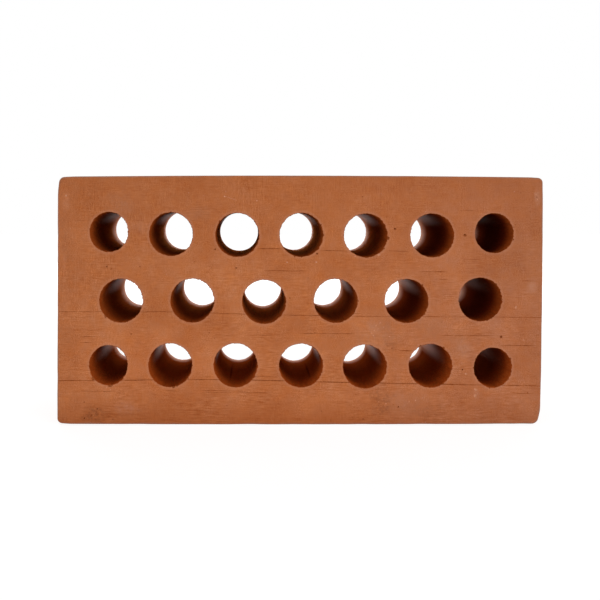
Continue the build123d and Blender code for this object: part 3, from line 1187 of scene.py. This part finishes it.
# Floor: its reach, its paper, and the glow that the eye sees near the block and away from it.
# Then the room: its colour and how strongly it lights the block
FLOOR_REACH = 4.0
PAPER = (0.92, 0.92, 0.92, 1)
DIM_PAPER = (0.25, 0.25, 0.25, 1)
GLOW_REACH = (0.2, 0.8)
GLOW = (0.86, 1.0)
WHITE = (1, 1, 1, 1)
ROOM_LIGHT = 0.35

# Lamps: place, width, height and power in watts
SOFTBOXES = {
    "right_key": ((1.75, -1.47, 0.66), 1.8, 1.2, 27.0),
    "left_key": ((-1.75, -1.47, 0.66), 1.8, 1.2, 17.5),
    "front_fill": ((0.1, -1.5, 0.6), 1.6, 1.0, 3.0),
    "back": ((0.0, 1.2, 0.5), 2.6, 0.9, 15.0),
}


def seen_by_eye(tree):
    """1 for a ray that shows a surface: straight to the camera, in a gloss or through glass."""
    path = add_node(tree, "ShaderNodeLightPath")
    titles = ("Is Camera Ray", "Is Glossy Ray", "Is Transmission Ray")
    to_camera, in_gloss, through_glass = [Wire(tree, path.outputs[title]) for title in titles]
    return to_camera.most(in_gloss).most(through_glass)


def floor():
    """A wide white floor that shows white to the camera, with the block's shadow."""
    mesh = bpy.data.meshes.new("floor")
    far = FLOOR_REACH
    mesh.from_pydata([(-far, -far, 0), (far, -far, 0), (far, far, 0), (-far, far, 0)], [], [(0, 1, 2, 3)])
    plane = bpy.data.objects.new("floor", mesh)
    bpy.context.scene.collection.objects.link(plane)
    material = bpy.data.materials.new("white_floor")
    material.use_nodes = True
    tree = material.node_tree
    tree.nodes.clear()
    paper = add(tree, "ShaderNodeBsdfDiffuse", {"Color": PAPER})
    dim = add(tree, "ShaderNodeBsdfDiffuse", {"Color": DIM_PAPER})
    place = add(tree, "ShaderNodeTexCoord", output="Object")
    away = add(tree, "ShaderNodeVectorMath", [place], operation="LENGTH", output="Value")
    glow = add(tree, "ShaderNodeEmission", {"Strength": ramp(away, *GLOW_REACH, *GLOW)})
    shown = add(tree, "ShaderNodeAddShader", (dim, glow))
    mixed = add(tree, "ShaderNodeMixShader", (seen_by_eye(tree), paper, shown))
    add_node(tree, "ShaderNodeOutputMaterial", {"Surface": mixed})
    mesh.materials.append(material)


def surroundings():
    """White all round to the eye, and a softer light on the block."""
    world = bpy.data.worlds.new("studio")
    world.use_nodes = True
    bpy.context.scene.world = world
    tree = world.node_tree
    tree.nodes.clear()
    strength = ramp(seen_by_eye(tree), 0.0, 1.0, ROOM_LIGHT, 1.0)
    backdrop = add(tree, "ShaderNodeBackground", {"Color": WHITE, "Strength": strength})
    add_node(tree, "ShaderNodeOutputWorld", {"Surface": backdrop})


def softbox(name, place, target, width, height, power):
    """A rectangular area light aimed at a point."""
    lamp = bpy.data.lights.new(name, "AREA")
    lamp.shape = "RECTANGLE"
    lamp.size = width
    lamp.size_y = height
    lamp.energy = power
    thing = bpy.data.objects.new(name, lamp)
    thing.location = place
    thing.rotation_euler = (Vector(target) - Vector(place)).to_track_quat("-Z", "Y").to_euler()
    bpy.context.scene.collection.objects.link(thing)


def camera():
    """The photograph's view: square to the front face, with the frame shifted as the photograph's is."""
    lens = bpy.data.cameras.new("camera")
    lens.sensor_width = SENSOR
    lens.lens = PIXELS_PER_METRE * CAMERA_DISTANCE / PHOTO_SIZE * SENSOR
    middle = PHOTO_SIZE / 2
    lens.shift_x = (middle - VANISHING_PIXEL[0]) / PHOTO_SIZE
    lens.shift_y = (VANISHING_PIXEL[1] - middle) / PHOTO_SIZE
    eye = bpy.data.objects.new("camera", lens)
    eye.location = (
        (VANISHING_PIXEL[0] - FACE_FOOT_PIXEL[0]) / PIXELS_PER_METRE,
        LOW.y - CAMERA_DISTANCE,
        (FACE_FOOT_PIXEL[1] - VANISHING_PIXEL[1]) / PIXELS_PER_METRE,
    )
    eye.rotation_euler = (math.radians(90), 0, 0)
    bpy.context.scene.collection.objects.link(eye)
    bpy.context.scene.camera = eye


# The block in its studio


bpy.context.scene.view_settings.view_transform = "Standard"
camera()
surroundings()
floor()
middle_of_block = (LOW + HIGH) / 2
for name, (place, width, height, power) in SOFTBOXES.items():
    softbox(name, place, middle_of_block, width, height, power)

block = pierced_block(clay_finishes())
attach(block, "root")
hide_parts("breeze_block")
